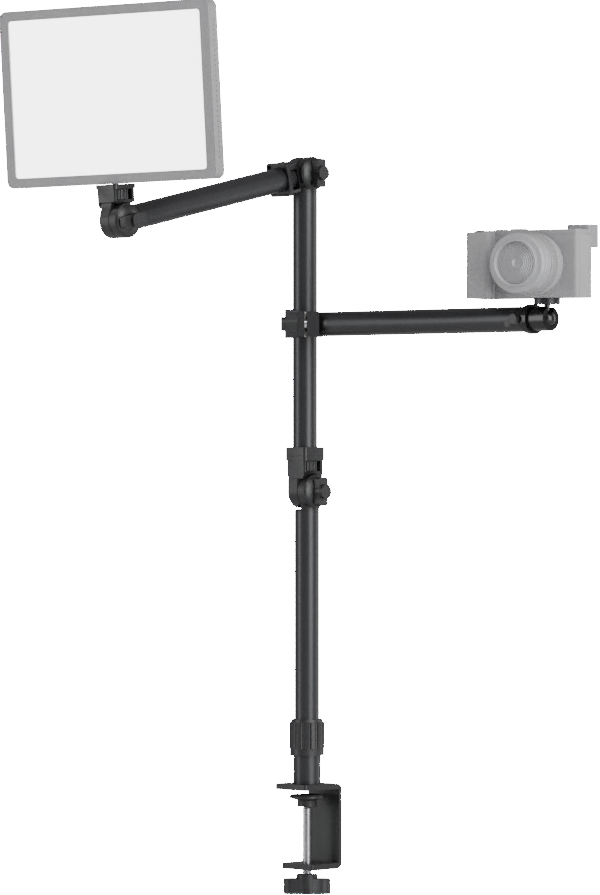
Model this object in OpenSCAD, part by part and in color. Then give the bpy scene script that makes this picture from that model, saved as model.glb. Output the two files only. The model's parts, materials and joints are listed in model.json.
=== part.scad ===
// Desk stand: clamp, two-part pole, light arm with LED panel, camera arm with ball head and camera.
// Frame: +Z up, origin on the pole's axis at the face that rests on the desk.
// -Y is the open end of the clamp, +X is the camera arm.

/* [Tubes] */
// Outer diameter of the poles and arms
tube_d = 25; // [20:0.5:32]
// Wall of the poles and arms
tube_wall = 1.5; // [1:0.1:2.5]
// Outer diameter of the short base tube
base_d = 28.2; // [27.4:0.2:31]
// Height of the base tube
base_h = 38; // [32:1:60]
// Length of the lower pole
lower_len = 264.5; // [200:0.5:400]
// Length of the upper pole
upper_len = 257.5; // [200:0.5:400]
// Length of the light arm, hinge to hinge
light_len = 261; // [200:1:350]
// Length of the camera arm's tube
camera_len = 265; // [180:1:350]
// Slope of the light arm below level, degrees
light_slope = 12.4; // [0:0.1:15]
// Height of the camera arm above the middle hinge
arm_height = 169.5; // [110:0.5:200]

/* [Desk clamp] */
// Width of the clamp along X
clamp_w = 44.4; // [40:0.2:60]
// Thickness of the clamp's plates
plate = 6; // [5:0.5:8]
// Opening between the jaws
jaw_gap = 75; // [55:1:90]
// Reach of the top jaw in front of the pole
top_reach = 24.5; // [22:0.5:35]
// Reach of the bottom jaw in front of the pole
bottom_reach = 15.1; // [14:0.5:30]
// Distance from the pole to the clamp's back face
back_reach = 29.8; // [27:0.5:40]
// Diameter of the clamp screw
screw_d = 9.8; // [8:0.2:12]
// Diameter of the pressure foot
foot_d = 35.6; // [28:0.2:42]
// Diameter of the clamp knob
clamp_knob_d = 48; // [40:1:56]

/* [Folding joints] */
// Radius of the ear and the tongue
ear_r = 17; // [16:0.5:19]
// Width of the square caps
cap_w = 29.6; // [29:0.2:34]
// Sideways step between the tongue's axis and the head's axis
head_step = 2.9; // [2:0.1:4]
// Largest fold of the top and panel joints, degrees
fold_max = 110; // [90:1:112]
// Forward lean of the panel's head, degrees
panel_lean = 3.9; // [0:0.1:15]
// Turn of the panel on its screw, degrees
panel_turn = 19; // [-30:1:30]

/* [LED panel] */
// Width of the panel
panel_w = 232; // [180:1:300]
// Height of the panel
panel_h = 175; // [130:1:220]
// Thickness of the panel
panel_t = 19; // [16:0.5:30]
// Width of the frame round the diffuser
bezel = 10; // [7:0.5:14]

/* [Camera] */
// Width of the camera body
body_w = 115.5; // [105:0.5:130]
// Height of the camera body
body_h = 66; // [60:1:75]
// Depth of the camera body without the grip
body_t = 34; // [28:0.5:40]
// Diameter of the lens
lens_d = 60; // [50:1:63]
// Length of the lens
lens_len = 46; // [34:1:60]
// Turn of the camera on its platform, degrees
camera_turn = 16; // [-40:1:40]

/* [Hidden] */

// Roundness of cylinders and of hull children
$fn = 64;

// Clearances
slip = 0.08;       // running fit between a shaft and its bore, on the radius
air = 0.35;        // between curved faces that are no fit
press = 0.02;      // between parts that are fixed to each other
face_gap = 0.15;   // between flat faces that turn on each other
eps = 0.01;
over = 1;          // how far a cut runs past a face

// Desk clamp
pad_proud = 0.3;
pad_t = 1.3;
pad_inset = 3;
bend_r = 10;
corner_r = 3;
top_z0 = pad_proud;
top_z1 = top_z0 + plate;
bottom_z1 = top_z0 - jaw_gap;
bottom_z0 = bottom_z1 - plate;
foot_gap = 5.2;
foot_pad_t = 1.2;
foot_rim_t = 2.3;
foot_cone_t = 2;
foot_hub_d = 19.8;
foot_hub_h = 6.6;
foot_z = -foot_gap;
foot_socket_z = foot_z - foot_pad_t - foot_rim_t - foot_cone_t - foot_hub_h;
screw_nose = 6;
knob_hub_h = 4.5;
knob_hub_d = 21.8;
knob_h = 15.5;
knob_gap = 5.3;
knob_rest = 45;
clamp_hub_z = bottom_z0 - knob_gap;

// Column
tube_r = tube_d / 2;
bore_r = tube_r - tube_wall;
base_bore_r = tube_r + slip;
plug_h = 9;
base_z = top_z1;
collar_d = base_d + 7.8;
collar_z0 = base_z + 28.7;
collar_h = 36.6;
collar_flutes = 15;
collar_lip = 5;
bush_wall = 2.4;
bush_z0 = base_z + base_h + 1.2;
bush_z1 = collar_z0 + collar_h - collar_lip - face_gap;
glide_z0 = base_z + plug_h + 0.5;
glide_h = 2;
pole_z0 = glide_z0 + glide_h + face_gap;
pole_z1 = pole_z0 + lower_len;

// Folding joint, in a frame with its hinge along X and its tongue's tube below
cap_to_hinge = 20.3;    // hinge above the end of the tongue's tube
spigot_len = 14;
spigot_r = bore_r - 0.05;
ear_x0 = -10.6;
ear_x1 = 2.6;
tongue_x0 = 3.3;
tongue_x1 = 12.2;
washer_r = 12;
bolt_r = 3.5;
bolt_head_r = 6;
bolt_head_h = 3;
dome_r = ear_r - 1;
dome_h = 3.9;
neck_top = ear_r + 0.7;
house_w = cap_w - 2.2;
web_w = 2 * ear_r - 0.3;
fold_reach = tube_d + house_w;
house_r = 3;
house_foot = 10;
house_z0 = 12.9;
house_z1 = 31.6;
house_z2 = 21;
flange_r = 3.5;
flange_z1 = 36.1;
mouth_z0 = 33.2;
mouth_w = tube_d + 0.6;
cap_h = 9;
window_z0 = 20.8;
window_z1 = 31.1;
window_y0 = -12;
window_y1 = 8.5;
top_wide = 5;
wheel_r = house_w / 2 - 1.4;
wheel_h = 9.5;
wheel_ribs = 22;
stud_r = 3.1;
stud_len = 7;
knob_x0 = tongue_x1 + dome_h + 0.4;
knob_x1 = knob_x0 + 11.5;
knob_end = 4;
wing_t = 7.5;
wing_corner = 3;
wing_len = 14.5;
wing_r = 6.2;
hub_r = 7.2;

// Joint places
mid_z = pole_z1 + cap_to_hinge;
upper_x = -head_step;
upper_z0 = mid_z + flange_z1 + cap_h;
upper_z1 = upper_z0 + upper_len;
top_z = upper_z1 + cap_to_hinge;
arm_x = -2 * head_step;
light_angle = 90 + light_slope;
panel_x = arm_x;
panel_y = -light_len * cos(light_slope);
panel_z = top_z - light_len * sin(light_slope);

// Panel, in a frame with its screw's axis up and its front towards -Y
panel_r = 8;
panel_seat = 0.3;
frame_lip = 3;
lip_t = 2;
frame_wall = 2;
diffuser_t = 2.5;
back_t = 4;
board_t = 1.6;
board_gap = 4;
dial_d = 12;
dial_h = 4;
dial_pin_r = 2;
dial_z = 30;
vent_count = 28;
vent_r = 0.9;

// Camera arm
arm_z = mid_z + arm_height;
liner_wall = 1.2;
liner_r = tube_r + slip + liner_wall;
ring_bore = liner_r + slip;
ring_r = ring_bore + 4.2;
ring_h = 25.3;
lug_angle = -44;
lug_from = ring_bore - 4;
lug_bolt_at = ring_r + 13.4;
lug_end = lug_bolt_at + 6.2;
lug_gap = 2.6;
lug_left = 7;
lug_knob_foot = 5;
lug_right = 12.3;

clamp_bolt_r = 2.5;
bolt_grip = 5;
clamp_bush_r = 5.5;
sleeve_r = tube_r;
sleeve_x = 41;
arm_spigot = 16;
socket_x = sleeve_x + camera_len;
lock_ring_r = 14.6;
lock_ring_w = 7;
socket_r = 11.9;
ball_r = 8.5;
ball_x = socket_x + 22.8;
socket_end = ball_x + 5;
stem_r = 3.2;
slot_air = 0.8;
platform_z = 14;
platform_h = 5.8;
platform_d = 25.7;
lever_x = socket_x - 5.4;
lever_hub_r = 5;
lever_y = -tube_r - 0.3;
lever_hub_h = 6;
lever_pin_r = 2;
lever_pin_len = 8;
lever_rest = 205;
lever_len = 13;
lever_w = 4.5;

// Camera, in a frame with the screw's axis at the origin and the lens towards -Y
cam_z = platform_z + platform_h + face_gap;
cam_right = 41.5;
cam_left = cam_right - body_w;
cam_half = body_t / 2;
cam_r = 5;
lens_z = 32.3;
lens_x = -4;
grip_w = 27;
grip_t = 15;
grip_r = 6.5;
top_h = 5;
top_z_cam = body_h - top_h;
cup_w = 26.5;
cup_h = 22;
cup_t = 16;
cup_over = 5.5;
screen_w = 66;
screen_h = 40;
screen_t = 4;
screen_x = -8;
screen_z = 8;
button_r = 4.2;
button_h = 1.2;
button_travel = 0.8;
dial_a_r = 8.5;
dial_a_h = 1.7;
dial_b_r = 6.5;
dial_b_h = 1.5;

// ---------------------------------------------------------------- helpers

// Rounded rectangle, exact arcs
module round_rect(w, h, r) {
  union() {
    square([w - 2 * r, h], center = true);
    square([w, h - 2 * r], center = true);
    for (sx = [-1, 1], sy = [-1, 1]) translate([sx * (w / 2 - r), sy * (h / 2 - r)]) circle(r);
  }
}

module round_block(w, h, r, z0, z1) {
  translate([0, 0, z0]) linear_extrude(z1 - z0) round_rect(w, h, r);
}

module tube(r_out, r_in, z0, z1) {
  difference() {
    translate([0, 0, z0]) cylinder(r = r_out, h = z1 - z0);
    translate([0, 0, z0 - over]) cylinder(r = r_in, h = z1 - z0 + 2 * over);
  }
}

// Cylinder along X
module x_rod(r, x0, x1) {
  translate([x0, 0, 0]) rotate([0, 90, 0]) cylinder(r = r, h = x1 - x0);
}

module at_middle() translate([0, 0, mid_z]) children();
module at_top_tongue() translate([upper_x, 0, top_z]) children();
module at_top_head() translate([upper_x, 0, top_z]) rotate([light_angle, 0, 0]) children();
module at_panel_tongue() translate([panel_x, panel_y, panel_z]) rotate([light_angle, 0, 0]) children();
module at_panel_head() translate([panel_x, panel_y, panel_z]) rotate([panel_lean, 0, 0]) children();
module at_panel() {
  at_panel_head() translate([-head_step, 0, flange_z1 + panel_seat]) rotate([0, 0, panel_turn]) children();
}
module at_arm() translate([upper_x, 0, arm_z]) children();
module at_arm_tube() translate([0, 0, arm_z]) children();
module at_ball() translate([ball_x, 0, arm_z]) children();
module at_camera() at_ball() translate([0, 0, cam_z]) rotate([0, 0, camera_turn]) children();

// ---------------------------------------------------------------- desk clamp

module clamp_profile() {
  // seen along X: first axis Y, second axis Z
  reach = max(top_reach, bottom_reach);
  difference() {
    translate([-reach, bottom_z0]) square([reach + back_reach, top_z1 - bottom_z0]);
    translate([-reach - over, bottom_z1]) square([reach + back_reach - plate + over, jaw_gap]);
    for (end = [[top_z1, -1], [bottom_z0, 1]]) translate([back_reach - bend_r, end[0] + end[1] * bend_r])
      difference() {
        translate([0, end[1] < 0 ? 0 : -bend_r - over]) square([bend_r + over, bend_r + over]);
        circle(bend_r);
      }
  }
}

module clamp_frame() {
  color([0.16, 0.16, 0.17])
  difference() {
    intersection() {
      translate([-clamp_w / 2, 0, 0]) rotate([90, 0, 90]) linear_extrude(clamp_w) clamp_profile();
      union() {
        clamp_outline(top_reach, top_z0 - jaw_gap / 2, top_z1 + over);
        clamp_outline(bottom_reach, bottom_z0 - over, top_z0 - jaw_gap / 2);
      }
    }
    translate([0, (back_reach - plate - top_reach) / 2, top_z0 - over])
      linear_extrude(over + pad_t - pad_proud) pad_outline(0);
    translate([0, 0, bottom_z0 - over]) cylinder(r = screw_d / 2 + slip, h = plate + 2 * over);
    base_screw_places() base_screw_cut();
  }
}

module clamp_outline(reach, z0, z1) {
  translate([0, (back_reach - reach) / 2, z0]) linear_extrude(z1 - z0) round_rect(clamp_w, back_reach + reach, corner_r);
}

module pad_outline(margin) {
  round_rect(clamp_w - 2 * pad_inset - 2 * margin, top_reach + back_reach - plate - 2 * pad_inset - 2 * margin, 3);
}

module jaw_pad() {
  color([0.08, 0.08, 0.08])
  translate([0, (back_reach - plate - top_reach) / 2, top_z0 - pad_proud])
    linear_extrude(pad_t) pad_outline(0.2);
}

base_screw_at = 7.5;
base_screw_r = 2;
base_head_r = 3.8;
base_head_h = 2.2;

module base_screw_places() {
  for (i = [0:2]) rotate([0, 0, 120 * i + 90]) translate([base_screw_at, 0, 0]) children();
}

module base_screw_cut() {
  translate([0, 0, top_z0 - over]) cylinder(r = base_screw_r + slip, h = plate + plug_h);
  translate([0, 0, top_z0 - over]) cylinder(r = base_head_r + slip, h = over + pad_t - pad_proud + base_head_h + slip);
}

module base_screws() {
  color([0.35, 0.35, 0.36])
  base_screw_places() union() {
    translate([0, 0, top_z0 + pad_t - pad_proud + slip]) cylinder(r = base_head_r, h = base_head_h);
    translate([0, 0, top_z0 + pad_t - pad_proud + slip]) cylinder(r = base_screw_r, h = plate + plug_h - 3);
  }
}

module base_plug() {
  color([0.3, 0.3, 0.31])
  difference() {
    translate([0, 0, base_z]) cylinder(r = base_bore_r - press, h = plug_h);
    base_screw_places() base_screw_cut();
  }
}

module base_tube() {
  color([0.13, 0.13, 0.14])
  tube(base_d / 2, base_bore_r, base_z, base_z + base_h);
}

module pressure_foot() {
  color([0.13, 0.13, 0.14])
  difference() {
    translate([0, 0, foot_z - foot_pad_t]) rotate([180, 0, 0]) rotate_extrude()
      polygon([
        [0, 0], [foot_d / 2, 0], [foot_d / 2, foot_rim_t],
        [foot_hub_d / 2, foot_rim_t + foot_cone_t],
        [foot_hub_d / 2, foot_rim_t + foot_cone_t + foot_hub_h],
        [0, foot_rim_t + foot_cone_t + foot_hub_h]
      ]);
    translate([0, 0, foot_socket_z - over]) cylinder(r = screw_nose / 2 + slip, h = 10 + over);
  }
}

module foot_pad() {
  color([0.07, 0.07, 0.07])
  translate([0, 0, foot_z - foot_pad_t]) cylinder(r = foot_d / 2 - 1, h = foot_pad_t);
}

module clamp_screw() {
  color([0.62, 0.62, 0.64])
  union() {
    translate([0, 0, foot_socket_z]) cylinder(r = screw_nose / 2, h = 9.5);
    translate([0, 0, clamp_hub_z - knob_hub_h - knob_h / 2])
      cylinder(r = screw_d / 2, h = foot_socket_z - face_gap - clamp_hub_z + knob_hub_h + knob_h / 2);
    translate([0, 0, foot_socket_z - 2]) cylinder(r = screw_nose / 2, h = 2 + eps);
  }
}

// Flat knob with round lobes, turned about Z, from z = 0 down
module lobe_knob(count, lobe_at, lobe_r, h, hub, hub_h) {
  union() {
    translate([0, 0, -hub_h]) cylinder(r = hub / 2, h = hub_h);
    translate([0, 0, -hub_h - h]) cylinder(r = hub / 2, h = h);
    for (i = [0:count - 1]) rotate([0, 0, i * 360 / count + knob_rest]) {
      translate([lobe_at, 0, -hub_h - h]) cylinder(r = lobe_r, h = h);
      translate([0, -lobe_r, -hub_h - h]) cube([lobe_at, 2 * lobe_r, h]);
    }
  }
}

module clamp_knob() {
  lobe_r = 9;
  color([0.14, 0.14, 0.15])
  difference() {
    translate([0, 0, clamp_hub_z])
      lobe_knob(2, clamp_knob_d / 2 - lobe_r, lobe_r, knob_h, knob_hub_d, knob_hub_h);
    translate([0, 0, clamp_hub_z - knob_hub_h - knob_h / 2]) cylinder(r = screw_d / 2 + press, h = knob_hub_h + knob_h);
  }
}

// ---------------------------------------------------------------- column

module twist_collar() {
  flute_r = 1.9;
  band_h = 7;
  taper_h = 3;
  top_r = collar_d / 2 - 2.6;
  color([0.12, 0.12, 0.13])
  difference() {
    union() {
      translate([0, 0, collar_z0]) cylinder(r = collar_d / 2 - 0.6, h = band_h + eps);
      translate([0, 0, collar_z0 + band_h]) linear_extrude(collar_h - band_h - taper_h)
        difference() {
          circle(collar_d / 2);
          for (i = [0:collar_flutes - 1]) rotate((i + 0.5) * 360 / collar_flutes)
            translate([collar_d / 2 + 0.6, 0]) circle(flute_r, $fn = 24);
        }
      translate([0, 0, collar_z0 + collar_h - taper_h - eps]) cylinder(r1 = top_r + 1, r2 = top_r, h = taper_h + eps);
    }
    translate([0, 0, collar_z0 - over]) cylinder(r = base_d / 2 + slip, h = bush_z0 - collar_z0 + over);
    translate([0, 0, bush_z0 - air])
      cylinder(r = tube_r + slip + bush_wall + air, h = bush_z1 - bush_z0 + 2 * air);
    translate([0, 0, collar_z0]) cylinder(r = tube_r + air, h = collar_h + over);
  }
}

module collar_bush() {
  color([0.75, 0.75, 0.73])
  difference() {
    tube(tube_r + slip + bush_wall, tube_r + slip, bush_z0, bush_z1);
    translate([0, -0.8, bush_z0 - over]) cube([collar_d, 1.6, bush_z1 - bush_z0 + 2 * over]);
  }
}

// Plug under the lower pole that slides and turns in the base tube
module pole_glide() {
  color([0.7, 0.7, 0.68])
  union() {
    translate([0, 0, glide_z0]) cylinder(r = tube_r, h = glide_h);
    translate([0, 0, glide_z0 + glide_h - eps]) cylinder(r = bore_r - slip, h = 6);
  }
}

module lower_pole() {
  color([0.13, 0.13, 0.14])
  tube(tube_r, bore_r, pole_z0, pole_z1);
}

module upper_pole() {
  color([0.13, 0.13, 0.14])
  translate([upper_x, 0, 0]) tube(tube_r, bore_r, upper_z0, upper_z1);
}

// Tube of the light arm with a plug in its end that the head's screw draws in
module light_arm() {
  plug_z = mouth_z0 + 0.5;
  color([0.13, 0.13, 0.14])
  at_top_head() translate([-head_step, 0, 0]) union() {
    tube(tube_r, bore_r, plug_z, light_len - cap_to_hinge);
    tube(bore_r + eps, stud_r + slip, plug_z, plug_z + spigot_len);
  }
}

// ---------------------------------------------------------------- folding joint

// End fitting with the tongue: spigot below, hinge at the origin
module tongue() {
  color([0.12, 0.12, 0.13])
  difference() {
    union() {
      translate([0, 0, -cap_to_hinge - spigot_len]) cylinder(r = spigot_r, h = spigot_len + eps);
      translate([0, 0, -cap_to_hinge]) rotate_extrude() polygon([
        [0, 0], [tube_r, 0], [tube_r, 0.6],
        [tube_r - 1.7, cap_to_hinge - neck_top], [0, cap_to_hinge - neck_top]
      ]);
      x_rod(ear_r, tongue_x0, tongue_x1);
      intersection() {
        translate([tongue_x0, -tube_r, -cap_to_hinge]) cube([tube_r, tube_d, cap_to_hinge]);
        translate([0, 0, -cap_to_hinge]) cylinder(r = tube_r, h = cap_to_hinge);
      }
      translate([tongue_x1 - eps, 0, 0]) rotate([0, 90, 0]) rotate_extrude() polygon([
        [0, 0], [dome_r, 0], [dome_r - 0.8, 1], [dome_r - 4, 2.7], [dome_r / 2, dome_h], [0, dome_h]
      ]);
    }
    x_rod(bolt_r + slip, tongue_x0 - over, knob_x0 + over);
  }
}

module hinge_washer() {
  color([0.5, 0.48, 0.42])
  difference() {
    x_rod(washer_r, ear_x1, tongue_x0 - face_gap);
    x_rod(bolt_r + slip, ear_x1 - over, tongue_x0 + over);
  }
}

module hinge_bolt() {
  color([0.45, 0.45, 0.46])
  union() {
    x_rod(bolt_r, ear_x0 + 1, knob_x1 - knob_end);
    x_rod(bolt_head_r, ear_x0 + 0.4, ear_x0 + 0.4 + bolt_head_h);
  }
}

// Wing knob on a bolt; foot is how far it reaches back past its usual base
module wing_knob(bore, foot) {
  color([0.12, 0.12, 0.13])
  difference() {
    union() {
      x_rod(hub_r, knob_x0 - foot, knob_x1);
      translate([knob_x0 - foot, 0, 0]) rotate([90, 0, 90]) linear_extrude(foot + wing_t)
        round_rect(2 * wing_r, 2 * wing_len, wing_corner);
    }
    x_rod(bore + press, knob_x0 - foot - over, knob_x1 - knob_end);
  }
}

// Head with one ear; its own axis is head_step to -X of the tongue's
module head(fold, wide) {
  color([0.12, 0.12, 0.13])
  difference() {
    union() {
      translate([-head_step, 0, 0]) {
        intersection() {
          round_block(house_w, house_w + wide, house_r, house_z0, house_z1 + eps);
          rotate([90, 0, 0]) translate([0, 0, -2 * house_w]) linear_extrude(4 * house_w) polygon([
            [-house_foot, house_z0], [house_foot, house_z0], [house_w / 2, house_z2],
            [house_w / 2, house_z1 + over], [-house_w / 2, house_z1 + over], [-house_w / 2, house_z2]
          ]);
        }
        round_block(cap_w, cap_w + wide, flange_r, house_z1, flange_z1);
      }
      x_rod(ear_r, ear_x0, ear_x1);
      translate([ear_x0, -web_w / 2, 0]) cube([ear_x1 - ear_x0, web_w, house_z0 + eps]);
    }
    // room for the tongue and its neck
    x_rod(ear_r + 0.8, ear_x1, tube_d);
    if (fold > 90) for (s = [-1, 1]) rotate([s * fold, 0, 0])
      rotate([90, 0, 0]) translate([0, 0, -tube_r - air]) linear_extrude(tube_d + 2 * air) polygon([
        [ear_x1 + 0.1, 0], [ear_x1 + tube_d, 0], [ear_x1 + tube_d, -fold_reach], [-tube_r - air, -fold_reach],
        [-tube_r - air, -ear_r - 0.2], [ear_x1 + 0.1, -ear_r - 0.2]
      ]);
    // chamber and windows of the thumbwheel
    translate([-head_step, 0, window_z0]) cylinder(r = wheel_r + air, h = window_z1 - window_z0);
    translate([-head_step - house_w, window_y0, window_z0])
      cube([2 * house_w, window_y1 - window_y0, window_z1 - window_z0]);
    translate([-head_step, 0, window_z0]) cylinder(r = stud_r + air, h = cap_w);
    // square mouth
    translate([-head_step, 0, 0]) round_block(mouth_w, mouth_w + wide, 2, mouth_z0, flange_z1 + over);
    // hinge bolt and its head
    x_rod(bolt_r + slip, ear_x0 - over, ear_x1 + over);
    x_rod(bolt_head_r + slip, ear_x0 - over, ear_x0 + 0.4 + bolt_head_h + face_gap);
  }
}

// Captive thumbwheel with its screw
module thumbwheel() {
  color([0.14, 0.14, 0.15])
  translate([-head_step, 0, 0]) union() {
    difference() {
      translate([0, 0, window_z0 + air]) cylinder(r = wheel_r, h = wheel_h);
      for (i = [0:wheel_ribs - 1]) rotate([0, 0, (i + 0.5) * 360 / wheel_ribs])
        translate([wheel_r + 0.5, 0, window_z0]) cylinder(r = 1.3, h = wheel_h + over, $fn = 16);
    }
    translate([0, 0, window_z0 + wheel_h]) cylinder(r = stud_r, h = stud_len + flange_z1 - window_z0 - wheel_h);
  }
}

// Square cap of the upper pole that the head's screw draws down
module square_cap() {
  color([0.12, 0.12, 0.13])
  translate([-head_step, 0, 0]) difference() {
    union() {
      round_block(cap_w, cap_w, flange_r, flange_z1, flange_z1 + cap_h);
      round_block(mouth_w - 0.2, mouth_w - 0.2, 2, mouth_z0 + face_gap, flange_z1 + eps);
      translate([0, 0, flange_z1]) cylinder(r = spigot_r, h = cap_h + spigot_len);
    }
    translate([0, 0, flange_z1 - over - cap_h]) cylinder(r = stud_r + slip, h = stud_len + 2 * over + cap_h);
  }
}

module lower_tongue() at_middle() tongue();
module middle_bolt() at_middle() hinge_bolt();
module middle_knob() at_middle() wing_knob(bolt_r, 0);
module middle_head() at_middle() head(90, 0);
module middle_washer() at_middle() hinge_washer();
module middle_wheel() at_middle() thumbwheel();
module upper_cap() at_middle() square_cap();
module upper_tongue() at_top_tongue() tongue();
module top_bolt() at_top_tongue() hinge_bolt();
module top_knob() at_top_tongue() wing_knob(bolt_r, 0);
module top_head() at_top_head() head(fold_max, top_wide);
module top_washer() at_top_head() hinge_washer();
module top_wheel() at_top_head() thumbwheel();
module light_tongue() at_panel_tongue() tongue();
module panel_bolt() at_panel_tongue() hinge_bolt();
module panel_knob() at_panel_tongue() wing_knob(bolt_r, 0);
module panel_head() at_panel_head() head(fold_max, 0);
module panel_washer() at_panel_head() hinge_washer();
module panel_wheel() at_panel_head() thumbwheel();

// ---------------------------------------------------------------- LED panel

// Upright rounded plate of the panel, y0 to y1, inset from the outline
module panel_plate(inset, r, y0, y1) {
  translate([0, y1, panel_h / 2]) rotate([90, 0, 0]) linear_extrude(y1 - y0)
    round_rect(panel_w - 2 * inset, panel_h - 2 * inset, r);
}

module panel_frame() {
  front = -panel_t / 2;
  rear = panel_t / 2;
  color([0.62, 0.62, 0.63])
  at_panel() difference() {
    panel_plate(0, panel_r, front, rear - back_t);
    panel_plate(bezel, frame_lip, front - over, front + lip_t + over);
    panel_plate(bezel - frame_wall, frame_lip, front + lip_t, rear);
    translate([0, 0, -over]) cylinder(r = stud_r + slip, h = stud_len + over);
    // vents along the right side
    for (i = [0:vent_count - 1])
      translate([panel_w / 2 - over, 0, panel_h * (0.12 + 0.76 * i / (vent_count - 1))])
        rotate([0, 90, 0]) cylinder(r = vent_r, h = 2 * over, $fn = 16);
  }
}

module panel_diffuser() {
  front = -panel_t / 2;
  color([0.95, 0.95, 0.94])
  at_panel() panel_plate(bezel - frame_wall + 0.2, frame_lip, front + lip_t, front + lip_t + diffuser_t);
}

module panel_led_board() {
  board_y = -panel_t / 2 + lip_t + diffuser_t + board_gap;
  color([0.85, 0.82, 0.6])
  at_panel() panel_plate(bezel - frame_wall + 0.2, frame_lip, board_y, board_y + board_t);
}

module panel_back() {
  rear = panel_t / 2;
  color([0.55, 0.55, 0.56])
  at_panel() difference() {
    panel_plate(0, panel_r, rear - back_t, rear);
    translate([panel_w / 4, rear + over, dial_z])
      rotate([90, 0, 0]) cylinder(r = dial_pin_r + slip, h = back_t + 2 * over);
  }
}

module panel_dial() {
  rear = panel_t / 2;
  color([0.2, 0.2, 0.21])
  at_panel() translate([panel_w / 4, rear + face_gap, dial_z]) rotate([-90, 0, 0]) union() {
    cylinder(r = dial_d / 2, h = dial_h);
    translate([0, 0, -back_t]) cylinder(r = dial_pin_r, h = back_t + eps);
  }
}

// ---------------------------------------------------------------- camera arm

module arm_liner() {
  color([0.7, 0.7, 0.68])
  at_arm() tube(liner_r, tube_r + slip, -ring_h / 2, ring_h / 2);
}

// Split ring with its lugs, seen along the pole
module ring_outline() {
  difference() {
    union() {
      circle(ring_r);
      rotate(lug_angle) translate([lug_from, -lug_gap / 2 - lug_left])
        square([lug_end - lug_from, lug_left + lug_gap + lug_right]);
    }
    circle(ring_bore);
    rotate(lug_angle) translate([0, -lug_gap / 2]) square([lug_end + over, lug_gap]);
  }
}

module arm_clamp() {
  color([0.12, 0.12, 0.13])
  difference() {
    union() {
      at_arm() translate([0, 0, -ring_h / 2]) linear_extrude(ring_h) ring_outline();
      difference() {
        at_arm_tube() {
          x_rod(sleeve_r, 0, sleeve_x);
          x_rod(spigot_r, 0, sleeve_x + arm_spigot);
        }
        at_arm() translate([0, 0, -ring_h]) cylinder(r = ring_bore + 2, h = 2 * ring_h);
      }
    }
    at_arm() rotate([0, 0, lug_angle]) translate([lug_bolt_at, 0, 0]) rotate([90, 0, 0])
      translate([0, 0, -lug_gap / 2 - bolt_grip - air]) cylinder(r = clamp_bolt_r + slip, h = tube_d);
  }
}

module clamp_bush() {
  color([0.6, 0.6, 0.62])
  at_arm() rotate([0, 0, lug_angle]) translate([lug_bolt_at, 0, 0]) rotate([90, 0, 0]) difference() {
    translate([0, 0, -lug_gap / 2 + 0.1]) cylinder(r = clamp_bush_r - 0.6, h = lug_gap - 0.2);
    translate([0, 0, -lug_gap]) cylinder(r = clamp_bolt_r + slip, h = 2 * lug_gap);
  }
}

// Frame of the arm clamp's knob: -X of the knob runs along the bolt
module at_arm_knob() {
  knob_y = -lug_gap / 2 - lug_left - face_gap - lug_knob_foot;
  at_arm() rotate([0, 0, lug_angle]) translate([lug_bolt_at, knob_y + knob_x0, 0]) rotate([0, 0, -90]) children();
}

module arm_clamp_bolt() {
  bolt_end = lug_gap / 2 + bolt_grip;
  bolt_len = bolt_end + lug_gap / 2 + lug_left + face_gap + lug_knob_foot + knob_x1 - knob_x0 - knob_end;
  color([0.45, 0.45, 0.46])
  at_arm() rotate([0, 0, lug_angle]) translate([lug_bolt_at, 0, 0]) rotate([90, 0, 0])
    translate([0, 0, -bolt_end]) cylinder(r = clamp_bolt_r, h = bolt_len);
}

module arm_clamp_knob() at_arm_knob() wing_knob(clamp_bolt_r, lug_knob_foot);

module camera_arm() {
  color([0.13, 0.13, 0.14])
  at_arm_tube() difference() {
    x_rod(tube_r, sleeve_x, socket_x);
    x_rod(bore_r, sleeve_x - over, socket_x + over);
    translate([0, 0, -arm_z]) lever_bore();
  }
}

module ball_socket() {
  cavity_r = ball_r + 0.4;
  color([0.2, 0.2, 0.21])
  at_arm_tube() difference() {
    union() {
      x_rod(spigot_r, socket_x - arm_spigot, socket_x + eps);
      x_rod(lock_ring_r, socket_x, socket_x + lock_ring_w);
      x_rod(socket_r, socket_x, socket_end);
    }
    translate([ball_x, 0, 0]) sphere(r = cavity_r);
    x_rod(ball_r - 1.2, ball_x, socket_end + over);
    translate([ball_x - stem_r - slot_air, -stem_r - slot_air, 0])
      cube([socket_end, 2 * (stem_r + slot_air), socket_r + over]);
    x_rod(clamp_bolt_r, socket_x + 1, ball_x);
    translate([0, 0, -arm_z]) lever_bore();
  }
}

module lever_bore() {
  translate([lever_x, 0, arm_z]) rotate([90, 0, 0]) cylinder(r = lever_pin_r + slip, h = tube_d);
}

// Lever that locks the ball, turning about Y on the arm's end
module ball_lock() {
  color([0.16, 0.16, 0.17])
  translate([lever_x, lever_y, arm_z]) rotate([90, 0, 0]) union() {
    cylinder(r = lever_hub_r, h = lever_hub_h);
    translate([0, 0, -lever_pin_len]) cylinder(r = lever_pin_r, h = lever_pin_len + 1);
    rotate([0, 0, lever_rest]) translate([0, -lever_w / 2, 1]) cube([lever_len, lever_w, lever_hub_h - 2]);
  }
}

module ball_stem() {
  color([0.6, 0.6, 0.62])
  at_ball() union() {
    sphere(r = ball_r);
    cylinder(r = stem_r, h = platform_z + 1);
  }
}

// Round platform with its camera screw
module platform() {
  color([0.15, 0.15, 0.16])
  at_ball() difference() {
    union() {
      translate([0, 0, platform_z]) cylinder(r = platform_d / 2, h = platform_h);
      translate([0, 0, platform_z]) cylinder(r = stud_r, h = platform_h + stud_len - 2);
    }
    translate([0, 0, platform_z - over]) cylinder(r = stem_r, h = 2 * over);
  }
}

// ---------------------------------------------------------------- camera

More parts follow.
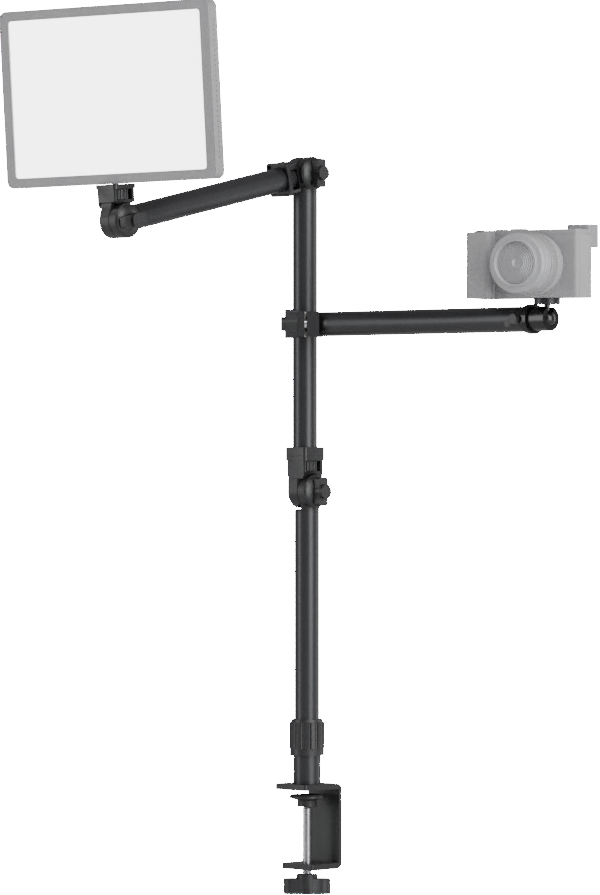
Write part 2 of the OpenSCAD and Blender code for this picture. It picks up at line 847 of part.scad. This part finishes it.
// Outline of the camera body seen from above
module camera_outline(inset) {
  translate([(cam_left + cam_right) / 2, 0]) round_rect(body_w - 2 * inset, body_t - 2 * inset, cam_r - inset);
}

module camera_body() {
  color([0.6, 0.6, 0.61])
  at_camera() difference() {
    linear_extrude(top_z_cam) camera_outline(0);
    translate([0, 0, -over]) cylinder(r = stud_r + slip, h = stud_len - 1 + over);
    translate([lens_x, 0, lens_z]) rotate([90, 0, 0]) cylinder(r = lens_d / 2 - 6, h = cam_half + over);
  }
}

module camera_top() {
  color([0.6, 0.6, 0.61])
  at_camera() difference() {
    translate([0, 0, top_z_cam]) linear_extrude(top_h) camera_outline(0.8);
    translate([cup_x0, cam_half - 6, top_z_cam - over]) cube([cup_w + 4, body_t, body_h]);
    dial_places() translate([0, 0, -3]) cylinder(r = dial_pin_r + slip, h = 4);
  }
}

dial_a_x = cam_left + 42;
dial_a_y = 3;
dial_b_x = cam_left + 22;
dial_b_y = 6;
button_x = cam_left + 12;
button_y = -cam_half - 4;
cup_x0 = cam_right - cup_w - 0.5;

module dial_places() {
  translate([dial_a_x, dial_a_y, body_h]) children();
  translate([dial_b_x, dial_b_y, body_h]) children();
}

module camera_grip() {
  color([0.55, 0.55, 0.56])
  at_camera() difference() {
    translate([cam_left + grip_w / 2, -cam_half - grip_t / 2 + 2, 0])
      linear_extrude(body_h - 2) round_rect(grip_w, grip_t + 4, grip_r);
    translate([0, 0, -over]) linear_extrude(body_h + 2 * over) camera_outline(0);
    translate([button_x, button_y, body_h - 2 - 3]) cylinder(r = button_r - 1 + slip, h = 4);
  }
}

module shutter_button() {
  color([0.7, 0.7, 0.71])
  at_camera() translate([button_x, button_y, body_h - 2]) union() {
    translate([0, 0, button_travel + 0.1]) cylinder(r = button_r, h = button_h);
    translate([0, 0, -2]) cylinder(r = button_r - 1, h = 3);
  }
}

module top_dial(x, y, r, h) {
  color([0.62, 0.62, 0.63])
  at_camera() translate([x, y, body_h]) union() {
    difference() {
      translate([0, 0, face_gap]) cylinder(r = r, h = h);
      for (i = [0:23]) rotate([0, 0, i * 15]) translate([r + 0.3, 0, 0]) cylinder(r = 0.7, h = h - 0.4, $fn = 16);
    }
    translate([0, 0, -2.8]) cylinder(r = dial_pin_r, h = 3);
  }
}

module mode_dial() top_dial(dial_a_x, dial_a_y, dial_a_r, dial_a_h);
module control_dial() top_dial(dial_b_x, dial_b_y, dial_b_r, dial_b_h);

// Cylinder of the lens, from a to b in front of the body
module lens_rod(r, a, b) {
  translate([lens_x, -cam_half - a, lens_z]) rotate([90, 0, 0]) cylinder(r = r, h = b - a);
}

zoom_a = 10;
zoom_b = 24;

module lens_barrel() {
  lens_r = lens_d / 2;
  color([0.62, 0.62, 0.63])
  at_camera() difference() {
    union() {
      lens_rod(lens_r - 7, -4, 0.1);
      lens_rod(lens_r, 0, zoom_a);
      lens_rod(lens_r - 4, zoom_a - eps, zoom_b + eps);
      lens_rod(lens_r - 1, zoom_b, lens_len - 3);
      lens_rod(lens_r - 7, lens_len - 3 - eps, lens_len);
    }
    lens_rod(lens_r - 9, lens_len - 6, lens_len + over);
  }
}

module zoom_ring() {
  lens_r = lens_d / 2;
  color([0.56, 0.56, 0.57])
  at_camera() difference() {
    lens_rod(lens_r, zoom_a + face_gap, zoom_b - face_gap);
    lens_rod(lens_r - 4 + slip, zoom_a - over, zoom_b + over);
  }
}

module lens_glass() {
  color([0.1, 0.12, 0.16])
  at_camera() lens_rod(lens_d / 2 - 9 - 0.05, lens_len - 6, lens_len - 3.5);
}

module eyecup() {
  color([0.12, 0.12, 0.13])
  at_camera() difference() {
    translate([cup_x0 + cup_w / 2, cam_half - 6 + (cup_t + 6) / 2, body_h + cup_over - cup_h])
      linear_extrude(cup_h) round_rect(cup_w, cup_t + 6, 5);
    translate([0, 0, -over]) linear_extrude(top_z_cam + over) camera_outline(-0.01);
    translate([0, -body_t + cam_half - 6, 0]) cube([2 * body_w, body_t, 2 * body_h]);
    translate([cup_x0 + cup_w / 2, cam_half + cup_t, body_h + cup_over - cup_h / 2])
      rotate([90, 0, 0]) cylinder(r = 7, h = 6);
  }
}

module camera_screen() {
  color([0.12, 0.12, 0.13])
  at_camera() translate([screen_x, cam_half + face_gap + screen_t / 2, screen_z])
    translate([0, screen_t / 2, screen_h / 2]) rotate([90, 0, 0]) linear_extrude(screen_t)
      round_rect(screen_w, screen_h, 2.5);
}

// ---------------------------------------------------------------- assembly

clamp_frame();
jaw_pad();
base_plug();
base_tube();
base_screws();
collar_bush();
clamp_screw();
clamp_knob();
pressure_foot();
foot_pad();
twist_collar();
pole_glide();
lower_pole();
lower_tongue();
middle_bolt();
middle_knob();
middle_head();
middle_washer();
middle_wheel();
upper_cap();
upper_pole();
upper_tongue();
top_bolt();
top_knob();
top_head();
top_washer();
top_wheel();
light_arm();
light_tongue();
panel_bolt();
panel_knob();
panel_head();
panel_washer();
panel_wheel();
panel_frame();
panel_diffuser();
panel_led_board();
panel_back();
panel_dial();
arm_liner();
arm_clamp();
clamp_bush();
arm_clamp_bolt();
arm_clamp_knob();
camera_arm();
ball_socket();
ball_lock();
ball_stem();
platform();
camera_body();
camera_top();
camera_grip();
shutter_button();
mode_dial();
control_dial();
zoom_ring();
lens_barrel();
lens_glass();
eyecup();
camera_screen();
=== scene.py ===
import json
import math

import bmesh
import bpy
from mathutils import Matrix, Vector


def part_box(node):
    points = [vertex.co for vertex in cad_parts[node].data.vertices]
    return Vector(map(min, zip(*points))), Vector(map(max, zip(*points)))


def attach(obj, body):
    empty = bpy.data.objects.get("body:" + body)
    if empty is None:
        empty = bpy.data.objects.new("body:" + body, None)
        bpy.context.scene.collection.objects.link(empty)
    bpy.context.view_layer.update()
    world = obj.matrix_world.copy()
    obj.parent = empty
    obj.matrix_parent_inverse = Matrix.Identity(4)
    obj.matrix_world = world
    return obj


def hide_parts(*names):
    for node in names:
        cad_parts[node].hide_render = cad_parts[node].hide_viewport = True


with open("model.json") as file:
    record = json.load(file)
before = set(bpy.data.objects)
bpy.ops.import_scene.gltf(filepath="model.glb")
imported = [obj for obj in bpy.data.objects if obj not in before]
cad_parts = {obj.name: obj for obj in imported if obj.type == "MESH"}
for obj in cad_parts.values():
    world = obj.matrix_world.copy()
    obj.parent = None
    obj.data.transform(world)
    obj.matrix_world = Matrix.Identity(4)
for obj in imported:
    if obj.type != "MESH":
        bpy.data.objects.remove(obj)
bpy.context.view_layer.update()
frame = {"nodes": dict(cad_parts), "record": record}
nodes = frame["nodes"]
joints = {j["name"]: j for j in frame["record"]["behaviour"]["joints"]}
print("frame loaded:", len(nodes), "nodes")


def mm(value):
    return value / 1000.0


def linearColour(hexText):
    channels = [int(hexText[i:i + 2], 16) / 255.0 for i in (1, 3, 5)]
    return tuple(c / 12.92 if c <= 0.04045 else ((c + 0.055) / 1.055) ** 2.4 for c in channels) + (1.0,)


def addNode(tree, kind, links=None, **settings):
    node = tree.nodes.new(kind)
    for key, value in settings.items():
        if hasattr(node, key):
            setattr(node, key, value)
        else:
            node.inputs[key.replace("_", " ")].default_value = value
    for socketName, source in (links or {}).items():
        tree.links.new(source, node.inputs[socketName])
    return node


# each material is a base finish with a fine pattern in object space

pattern = {
    "fineDetail": 3.0, "fineRoughness": 0.6,  # fine grain
    "patches": 28.0, "patchDetail": 4.0, "patchEdges": (0.3, 0.7),  # broad, faint patches of colour
    "bumpShare": 0.4,  # bump height as a share of the grain
    "smoothest": 0.02,
    "ior": 1.5,  # metals keep the default
}


def surface(name, hexText, roughness, metallic=0.0, grain=0.5, grainDepth=0.1, vary=0.06, roughVary=0.08,
            stretch=(1, 1, 1), coat=0.0):
    # grain is the size of the fine pattern in millimetres
    material = bpy.data.materials.new(name)
    material.use_nodes = True
    tree = material.node_tree
    shader = tree.nodes["Principled BSDF"]
    coords = addNode(tree, "ShaderNodeTexCoord")
    mapping = addNode(tree, "ShaderNodeMapping", {"Vector": coords.outputs["Object"]})
    mapping.inputs["Scale"].default_value = stretch
    fine = addNode(tree, "ShaderNodeTexNoise", {"Vector": mapping.outputs["Vector"]},
                   Scale=1000.0 / grain, Detail=pattern["fineDetail"], Roughness=pattern["fineRoughness"])
    broad = addNode(tree, "ShaderNodeTexNoise", {"Vector": coords.outputs["Object"]},
                    Scale=pattern["patches"], Detail=pattern["patchDetail"])
    base = linearColour(hexText)
    ramp = addNode(tree, "ShaderNodeValToRGB", {"Fac": broad.outputs["Fac"]})
    for stop, edge, share in zip(ramp.color_ramp.elements, pattern["patchEdges"], (1 - vary, 1 + vary)):
        stop.position = edge
        stop.color = tuple(min(1, c * share) for c in base[:3]) + (1,)
    tree.links.new(ramp.outputs["Color"], shader.inputs["Base Color"])
    rough = addNode(tree, "ShaderNodeMapRange", {"Value": fine.outputs["Fac"]})
    rough.inputs["To Min"].default_value = max(pattern["smoothest"], roughness - roughVary)
    rough.inputs["To Max"].default_value = min(1.0, roughness + roughVary)
    tree.links.new(rough.outputs["Result"], shader.inputs["Roughness"])
    bump = addNode(tree, "ShaderNodeBump", {"Height": fine.outputs["Fac"]}, Strength=grainDepth)
    bump.inputs["Distance"].default_value = mm(grain * pattern["bumpShare"])
    tree.links.new(bump.outputs["Normal"], shader.inputs["Normal"])
    shader.inputs["Metallic"].default_value = metallic
    shader.inputs["Coat Weight"].default_value = coat
    if metallic < 0.5:
        shader.inputs["IOR"].default_value = pattern["ior"]
    return material


materials = {}
milkyGlow = 4.2  # emission strength of the lit panel


def makeMaterials():
    # hard black anodising over drawn aluminium tube: satin, with long soft highlights
    materials["anodisedTube"] = surface("anodisedTube", "#2c2c2f", 0.34, metallic=0.2,
                                        grain=0.5, grainDepth=0.03)
    # powder coat on die-cast aluminium: even black with a very fine orange peel
    materials["castBlack"] = surface("powderCoatedCasting", "#1e1e20", 0.38, grain=0.7, grainDepth=0.1)
    # glass-filled nylon as moulded: dull black with a fine spark texture
    materials["knobNylon"] = surface("mouldedNylon", "#212123", 0.42, grain=0.6, grainDepth=0.14)
    # nitrile rubber: matte, darkest of all
    materials["rubber"] = surface("mattRubber", "#232324", 0.82, grain=0.9, grainDepth=0.3)
    # turned bright steel: a fine grain drawn out into rings round the axis
    materials["steel"] = surface("turnedSteel", "#c9c9cc", 0.24, metallic=1.0, grain=0.6, grainDepth=0.08,
                                 stretch=(0.2, 0.2, 3))
    # black oxide on steel screws
    materials["darkSteel"] = surface("blackOxideSteel", "#4a4a4d", 0.4, metallic=0.9,
                                     grain=0.5, grainDepth=0.1)
    # natural acetal: waxy off-white
    materials["acetal"] = surface("acetal", "#d8d6cf", 0.45, grain=0.8, grainDepth=0.08)
    # painted magnesium camera shell: mid grey satin with a fine grain
    materials["cameraShell"] = surface("satinCameraPaint", "#929294", 0.42, grain=0.5, grainDepth=0.08)
    # rubberised grip cover with a leather-like grain
    materials["cameraGrip"] = surface("grainedGrip", "#959597", 0.55, grain=1.6, grainDepth=0.5)
    # satin paint on the lens rings, a little lighter than the body
    materials["lensPaint"] = surface("satinLensPaint", "#a0a0a3", 0.34, grain=0.5, grainDepth=0.06)
    # aluminium dials: bright satin metal with a fine grain
    materials["dialMetal"] = surface("satinAluminium", "#a9a9ab", 0.34, metallic=0.7,
                                     grain=0.4, grainDepth=0.1)
    # panel light's moulded shell: mid grey ABS with a fine matt texture
    materials["panelShell"] = surface("mattAbs", "#929294", 0.48, grain=0.6, grainDepth=0.15)
    # lit milky acrylic behind the bezel
    glow = surface("milkyAcrylic", "#f4f4f2", 0.35, grain=0.8, grainDepth=0.02, vary=0.01)
    shader = glow.node_tree.nodes["Principled BSDF"]
    shader.inputs["Emission Color"].default_value = (1, 1, 0.99, 1)
    shader.inputs["Emission Strength"].default_value = milkyGlow
    materials["diffuser"] = glow
    # white solder mask
    materials["board"] = surface("solderMask", "#e6e4d2", 0.5, grain=2.0, grainDepth=0.1)
    # lacquered front disc of the lens: glossy grey
    materials["lensGlass"] = surface("turnedFrontDisc", "#98989b", 0.26, metallic=0.15,
                                     grain=0.5, grainDepth=0.02, coat=0.5)
    # polished black ball and socket: deep black gloss
    materials["glossBlack"] = surface("glossBlack", "#0c0c0d", 0.25, grain=0.5, grainDepth=0.03)
    # soft-touch grey rubber of the eyecup and the screen frame: dull, with a fine grain
    materials["softGrey"] = surface("softTouchGrey", "#8d8d90", 0.55, grain=0.7, grainDepth=0.2)
    print("materials made:", len(materials))


makeMaterials()

finishOf = {
    "anodisedTube": "base_tube lower_pole upper_pole light_arm camera_arm",
    "castBlack": "clamp_frame pressure_foot lower_tongue upper_tongue light_tongue middle_head top_head "
                 "panel_head upper_cap arm_clamp platform",
    "knobNylon": "clamp_knob twist_collar middle_knob top_knob panel_knob arm_clamp_knob middle_wheel "
                 "top_wheel panel_wheel ball_lock panel_dial",
    "rubber": "jaw_pad foot_pad",
    "steel": "clamp_screw clamp_bush",
    "glossBlack": "ball_stem ball_socket",
    "darkSteel": "base_screws base_plug middle_bolt top_bolt panel_bolt arm_clamp_bolt",
    "acetal": "collar_bush pole_glide arm_liner middle_washer top_washer panel_washer",
    "cameraShell": "camera_body camera_top",
    "lensPaint": "lens_barrel zoom_ring",
    "cameraGrip": "camera_grip",
    "softGrey": "eyecup camera_screen",
    "dialMetal": "shutter_button mode_dial control_dial",
    "lensGlass": "lens_glass",
    "panelShell": "panel_frame panel_back",
    "diffuser": "panel_diffuser",
    "board": "panel_led_board",
}
materialFor = {node: name for name, words in finishOf.items() for node in words.split()}
bodyFor = {node: body for body, names in frame["record"]["behaviour"]["bodies"].items() for node in names}


def paint(obj, name):
    obj.data.materials.clear()
    obj.data.materials.append(materials[name])


def newPiece(name, bm, materialName, body, smooth=30):
    # turns a bmesh into a finished piece that rides on a body
    bmesh.ops.recalc_face_normals(bm, faces=bm.faces)
    mesh = bpy.data.meshes.new(name)
    bm.to_mesh(mesh)
    bm.free()
    obj = bpy.data.objects.new(name, mesh)
    bpy.context.scene.collection.objects.link(obj)
    paint(obj, materialName)
    mesh.shade_smooth()
    mesh.set_sharp_from_angle(angle=math.radians(smooth))
    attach(obj, body)
    return obj


# cast and moulded pieces keep the CAD shape and get broken edges

edgeBreak = {  # edge radius in mm
    "clamp_frame": 0.9, "pressure_foot": 0.5, "lower_tongue": 0.45, "upper_tongue": 0.45,
    "light_tongue": 0.45, "middle_head": 0.5, "top_head": 0.5, "panel_head": 0.5, "upper_cap": 0.5,
    "arm_clamp": 0.6,
    "middle_knob": 1.2, "top_knob": 1.2, "panel_knob": 1.2, "arm_clamp_knob": 1.2, "ball_lock": 0.5,
    "platform": 0.5, "ball_socket": 0.4, "twist_collar": 0.3, "panel_dial": 0.5,
    "camera_body": 1.2, "camera_top": 1.2, "camera_grip": 2.0, "eyecup": 1.6, "camera_screen": 0.8,
    "shutter_button": 0.5, "panel_frame": 0.9, "panel_back": 1.4,
}


edgeFinish = {"weld": 0.002, "flatUnder": 0.6, "smoothUnder": 28, "breakOver": 32, "segments": 3}


def cleanCopy(node):
    # welds the node's mesh and joins its flat facets, so that a bevel meets clean edges
    bm = bmesh.new()
    bm.from_mesh(nodes[node].data)
    bmesh.ops.remove_doubles(bm, verts=bm.verts, dist=mm(edgeFinish["weld"]))
    bmesh.ops.dissolve_limit(bm, angle_limit=math.radians(edgeFinish["flatUnder"]),
                             verts=bm.verts, edges=bm.edges)
    return bm


def addBevel(piece, radius, segments, breakOver):
    bevel = piece.modifiers.new("edges", "BEVEL")
    bevel.width = mm(radius)
    bevel.segments = segments
    bevel.limit_method = "ANGLE"
    bevel.angle_limit = math.radians(breakOver)
    bevel.use_clamp_overlap = True
    bevel.harden_normals = True


def breakEdges(node, radius):
    piece = newPiece(node + "_shape", cleanCopy(node), materialFor[node], bodyFor[node],
                     smooth=edgeFinish["smoothUnder"])
    addBevel(piece, radius, edgeFinish["segments"], edgeFinish["breakOver"])
    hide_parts(node)


for nodeName, obj in nodes.items():
    paint(obj, materialFor[nodeName])
for nodeName, radius in edgeBreak.items():
    breakEdges(nodeName, radius)
print("edges broken on", len(edgeBreak), "pieces")


# turned pieces are half outlines spun round an axis

turnedWeld = 0.004  # mm


def spinProfile(points, steps=96, closed=False):
    # points are (radius, height) in mm, spun round Z
    bm = bmesh.new()
    verts = [bm.verts.new((mm(r), 0, mm(z))) for r, z in points]
    edges = [bm.edges.new(pair) for pair in zip(verts, verts[1:])]
    if closed:
        edges.append(bm.edges.new((verts[-1], verts[0])))
    bmesh.ops.spin(bm, geom=verts + edges, cent=(0, 0, 0), axis=(0, 0, 1), angle=math.tau, steps=steps,
                   use_merge=True, use_duplicate=False)
    bmesh.ops.remove_doubles(bm, verts=bm.verts, dist=mm(turnedWeld))
    bmesh.ops.recalc_face_normals(bm, faces=bm.faces)
    return bm


def place(bm, matrix):
    bmesh.ops.transform(bm, matrix=matrix, verts=bm.verts)
    return bm


# the clamp screw has a real thread between the foot and the knob

clampScrew = {"pitch": 2.0, "depth": 0.75, "stepsPerTurn": 28, "footGap": 0.4, "noseRadius": 3.0,
              "noseLength": 8.8, "weld": 0.01}


def makeClampScrew():
    low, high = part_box("clamp_screw")
    radius = 1000 * (high[0] - low[0]) / 2
    top = 1000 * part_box("pressure_foot")[0][2] - clampScrew["footGap"]
    bottom = 1000 * low[2]
    turns = int((top - bottom) / clampScrew["pitch"]) - 1
    root = radius - clampScrew["depth"]
    bm = bmesh.new()
    pitch = clampScrew["pitch"]
    outline = [(root, 0), (root, pitch * 0.12), (radius, pitch * 0.45), (radius, pitch * 0.6), (root, pitch)]
    verts = [bm.verts.new((mm(r), 0, mm(bottom + z))) for r, z in outline]
    edges = [bm.edges.new(pair) for pair in zip(verts, verts[1:])]
    steps = turns * clampScrew["stepsPerTurn"]
    bmesh.ops.spin(bm, geom=verts + edges, cent=(0, 0, 0), axis=(0, 0, 1), angle=math.tau * turns,
                   steps=steps, dvec=(0, 0, mm(pitch / clampScrew["stepsPerTurn"])), use_duplicate=False)
    bmesh.ops.remove_doubles(bm, verts=bm.verts, dist=mm(clampScrew["weld"]))
    ends = [e for e in bm.edges if e.is_boundary]
    bmesh.ops.holes_fill(bm, edges=ends, sides=0)
    thin, tip = clampScrew["noseRadius"], top + clampScrew["noseLength"]
    nose = spinProfile([(0, tip), (thin - 0.1, tip), (thin, tip - 0.3), (thin, top), (root, top - 0.6),
                        (root, bottom + 1), (0, bottom + 1)], steps=40)
    mesh = bpy.data.meshes.new("nose")
    nose.to_mesh(mesh)
    nose.free()
    bm.from_mesh(mesh)
    bpy.data.meshes.remove(mesh)
    piece = newPiece("clampScrewThread", bm, "steel", "screw", smooth=40)
    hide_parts("clamp_screw")


makeClampScrew()


# the clamp knob has two broad lobes with soft edges

clampKnob = {"edge": 2.2, "segments": 4, "breakOver": 40}


def makeClampKnob():
    piece = newPiece("clampKnobLobes", cleanCopy("clamp_knob"), "knobNylon", "screw",
                     smooth=edgeFinish["smoothUnder"])
    addBevel(piece, clampKnob["edge"], clampKnob["segments"], clampKnob["breakOver"])
    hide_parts("clamp_knob")


makeClampKnob()
print("clamp made")


# lens, front disc and small parts are placed in the camera's own frame

def cameraFrame():
    axis = joints["zoom_turn"]["axis"]
    turn = math.atan2(-axis[0], axis[1])
    place = joints["camera_turn"]["pos_m"]
    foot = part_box("camera_body")[0][2]
    return Matrix.Translation((place[0], place[1], foot)) @ Matrix.Rotation(turn, 4, "Z")


cameraPlace = cameraFrame()
camera = {"lensX": -4.0, "lensHeight": 32.3, "half": 17.0, "left": -74.0, "right": 41.5}
# the lens points along -Y: a turned piece made along +Z is laid over
lensSpot = Vector([mm(camera["lensX"]), mm(-camera["half"]), mm(camera["lensHeight"])])
lensPlace = cameraPlace @ Matrix.Translation(lensSpot) @ Matrix.Rotation(math.radians(90), 4, "X")

lens = {"radius": 30.0, "length": 46.0, "zoomStart": 10.0, "zoomEnd": 24.0, "bore": 21.0, "faceRings": 7}


def makeLens():
    r, n, a, b = lens["radius"], lens["length"], lens["zoomStart"], lens["zoomEnd"]
    front, bore = r - 1, lens["bore"]
    barrel = spinProfile([
        (r - 10, 0), (r - 1.2, 0), (r - 0.2, 0.6), (r, 1.2), (r, 3.4), (r - 0.8, 3.9), (r - 0.8, 4.5),
        (r, 5.0), (r, a - 0.6), (r - 0.5, a), (r - 3.9, a), (r - 3.9, b), (front - 0.6, b), (front, b + 0.6),
        (front, b + 4), (front - 0.8, b + 4.5), (front - 0.8, b + 5.3), (front, b + 5.8), (front, n - 9),
        (front - 0.8, n - 8.5), (front - 0.8, n - 7.7), (front, n - 7.2), (front, n - 4.6),
        (front - 1.4, n - 3.2), (front - 5.4, n - 3.0), (front - 6.0, n - 2.6), (front - 6.2, n - 0.5),
        (front - 6.7, n), (bore + 0.3, n), (bore - 0.3, n - 0.6), (bore - 0.6, n - 5.8),
        (r - 12, n - 6)], steps=128, closed=True)
    piece = newPiece("lensBarrel", place(barrel, lensPlace), "lensPaint", "camera",
                     smooth=35)
    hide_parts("lens_barrel")
    # front disc: shallow turned rings round a small polished dome
    rim = bore - 0.2
    disc = [(0, n - 3.6), (2.2, n - 3.8), (4.4, n - 4.5)]
    step = (rim - 5.4) / lens["faceRings"]
    for ring in range(lens["faceRings"]):
        start = 5.0 + ring * step
        disc += [(start, n - 4.7), (start + step * 0.72, n - 4.55), (start + step * 0.84, n - 4.9)]
    disc += [(rim, n - 4.9), (rim, n - 5.9), (0, n - 5.9)]
    piece = newPiece("lensFrontGlass", place(spinProfile(disc, steps=96), lensPlace), "lensGlass", "camera",
                     smooth=25)
    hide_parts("lens_glass")


zoomRing = {"ribs": 72, "sideGap": 0.2, "slope": 0.12, "grooveDepth": 0.5}


def makeZoomRing():
    a, b = lens["zoomStart"] + zoomRing["sideGap"], lens["zoomEnd"] - zoomRing["sideGap"]
    g = lens["radius"]
    top = g - 0.1
    bm = spinProfile([(g - 3.9, a), (g - 0.7, a), (top, a + 0.6), (top, a + 2.2), (top, b - 2.2),
                      (top, b - 0.6), (g - 0.7, b), (g - 3.9, b)],
                     steps=2 * zoomRing["ribs"], closed=True)
    middle = [f for f in bm.faces if abs(f.calc_center_median().z - mm((a + b) / 2)) < mm(0.1)
              and f.calc_center_median().xy.length > mm(g - 1)]
    middle.sort(key=lambda f: math.atan2(f.calc_center_median().y, f.calc_center_median().x))
    grooves = middle[::2]
    bmesh.ops.inset_individual(bm, faces=grooves, thickness=mm(zoomRing["slope"]),
                               depth=mm(-zoomRing["grooveDepth"]))
    piece = newPiece("zoomRingRibbed", place(bm, lensPlace), "cameraGrip", "zoom_ring",
                     smooth=35)
    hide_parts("zoom_ring")


# eyelets and focus lamp: places in the camera's frame, in mm
trim = {"eyeletY": 2, "eyeletZ": 50, "eyeletSunk": 0.35, "lampX": -36, "lampZ": 57}


def makeCameraTrim():
    c, t = camera, trim
    # lens mount plate on the body's front
    r = lens["radius"]
    bm = spinProfile([(r - 0.2, 0), (r + 1.4, 0), (r + 1.8, 0.4), (r + 1.8, 0.9), (r + 1.2, 1.2),
                      (r - 0.2, 1.2)], steps=96, closed=True)
    newPiece("mountPlate", place(bm, lensPlace), "dialMetal", "camera")
    # strap eyelets on the two sides
    for side, x in (("right", c["right"]), ("left", c["left"])):
        bm = spinProfile([(0, 0), (3.2, 0), (3.2, 0.1), (2.6, 0.25), (1.2, 0.3), (0, 0.3)], steps=32)
        turn = Matrix.Rotation(math.radians(90 if side == "right" else -90), 4, "Y")
        sign = 1 if side == "right" else -1
        spot = Matrix.Translation((mm(x - sign * t["eyeletSunk"]), mm(t["eyeletY"]), mm(t["eyeletZ"])))
        newPiece("strapEyelet_" + side, place(bm, cameraPlace @ spot @ turn), "steel", "camera")
    # focus lamp window
    bm = spinProfile([(0, 0), (2.4, 0), (2.4, 0.5), (2.0, 0.8), (0, 0.8)], steps=32)
    spot = Matrix.Translation((mm(t["lampX"]), mm(-c["half"]), mm(t["lampZ"])))
    turn = Matrix.Rotation(math.radians(90), 4, "X")
    newPiece("focusLamp", place(bm, cameraPlace @ spot @ turn), "lensGlass", "camera")


makeLens()
makeZoomRing()
makeCameraTrim()
print("camera made")


# view, floor and lamps

view = {"target": (-5.006, -5.006, 347.4), "distance": 5080.0, "lens": 201.1, "azimuth": 45.0,
        "sensor": 36, "farEnd": 50}


def setCamera():
    data = bpy.data.cameras.new("view")
    data.lens = view["lens"]
    data.sensor_width = view["sensor"]
    data.clip_end = view["farEnd"]
    cam = bpy.data.objects.new("view", data)
    bpy.context.scene.collection.objects.link(cam)
    turn = math.radians(view["azimuth"])
    target = Vector([mm(v) for v in view["target"]])
    cam.location = target + mm(view["distance"]) * Vector((math.sin(turn), -math.cos(turn), 0))
    cam.rotation_euler = (math.pi / 2, 0, turn)
    bpy.context.scene.camera = cam


studio = {"floorZ": -0.150, "floorSize": 60.0, "backdrop": 60.0, "ambient": 0.28,
          "lampRange": 2.5, "lampTarget": (0, 0, 0.35)}
# each lamp: angle round the stand from the camera in degrees, height and size in metres, power in watts
lamps = {
    "key": {"angle": 39, "height": 0.9, "size": (1.5, 2.6), "power": 76},
    "left": {"angle": -76, "height": 0.6, "size": (0.9, 2.4), "power": 31},
    "rim": {"angle": 110, "height": 0.6, "size": (1.1, 2.4), "power": 19},
    "top": {"angle": 10, "height": 3.2, "size": (1.6, 1.0), "power": 30},
}


def whiteForCamera(tree, otherwise, output):
    # seen directly the studio is pure white; its light on the object is set apart
    path = addNode(tree, "ShaderNodeLightPath")
    shown = addNode(tree, "ShaderNodeMapRange", {"Value": path.outputs["Is Camera Ray"]})
    shown.inputs["To Min"].default_value = otherwise
    shown.inputs["To Max"].default_value = studio["backdrop"]
    tree.links.new(shown.outputs["Result"], output)


def addLamp(name, values):
    data = bpy.data.lights.new(name, "AREA")
    data.shape = "RECTANGLE"
    data.size, data.size_y = values["size"]
    data.energy = values["power"]
    lamp = bpy.data.objects.new(name, data)
    bpy.context.scene.collection.objects.link(lamp)
    turn = math.radians(view["azimuth"] + values["angle"])
    target = Vector(studio["lampTarget"])
    reach = studio["lampRange"]
    lamp.location = (reach * math.sin(turn), -reach * math.cos(turn), values["height"])
    lamp.rotation_euler = (target - lamp.location).to_track_quat("-Z", "Y").to_euler()
    lamp.visible_camera = False


def setStudio():
    bm = bmesh.new()
    bmesh.ops.create_grid(bm, x_segments=1, y_segments=1, size=studio["floorSize"] / 2)
    mesh = bpy.data.meshes.new("floor")
    bm.to_mesh(mesh)
    bm.free()
    floor = bpy.data.objects.new("floor", mesh)
    floor.location.z = studio["floorZ"]
    bpy.context.scene.collection.objects.link(floor)
    pale = surface("paleFloor", "#e8e8e8", 0.9, grain=4.0, grainDepth=0.0, vary=0.0)
    shader = pale.node_tree.nodes["Principled BSDF"]
    shader.inputs["Emission Color"].default_value = (1, 1, 1, 1)
    whiteForCamera(pale.node_tree, 0.0, shader.inputs["Emission Strength"])
    mesh.materials.append(pale)
    world = bpy.data.worlds.new("studio")
    world.use_nodes = True
    background = world.node_tree.nodes["Background"]
    background.inputs["Color"].default_value = (1, 1, 1, 1)
    whiteForCamera(world.node_tree, studio["ambient"], background.inputs["Strength"])
    bpy.context.scene.world = world
    for name, values in lamps.items():
        addLamp(name, values)


setCamera()
setStudio()
print("camera and light set")
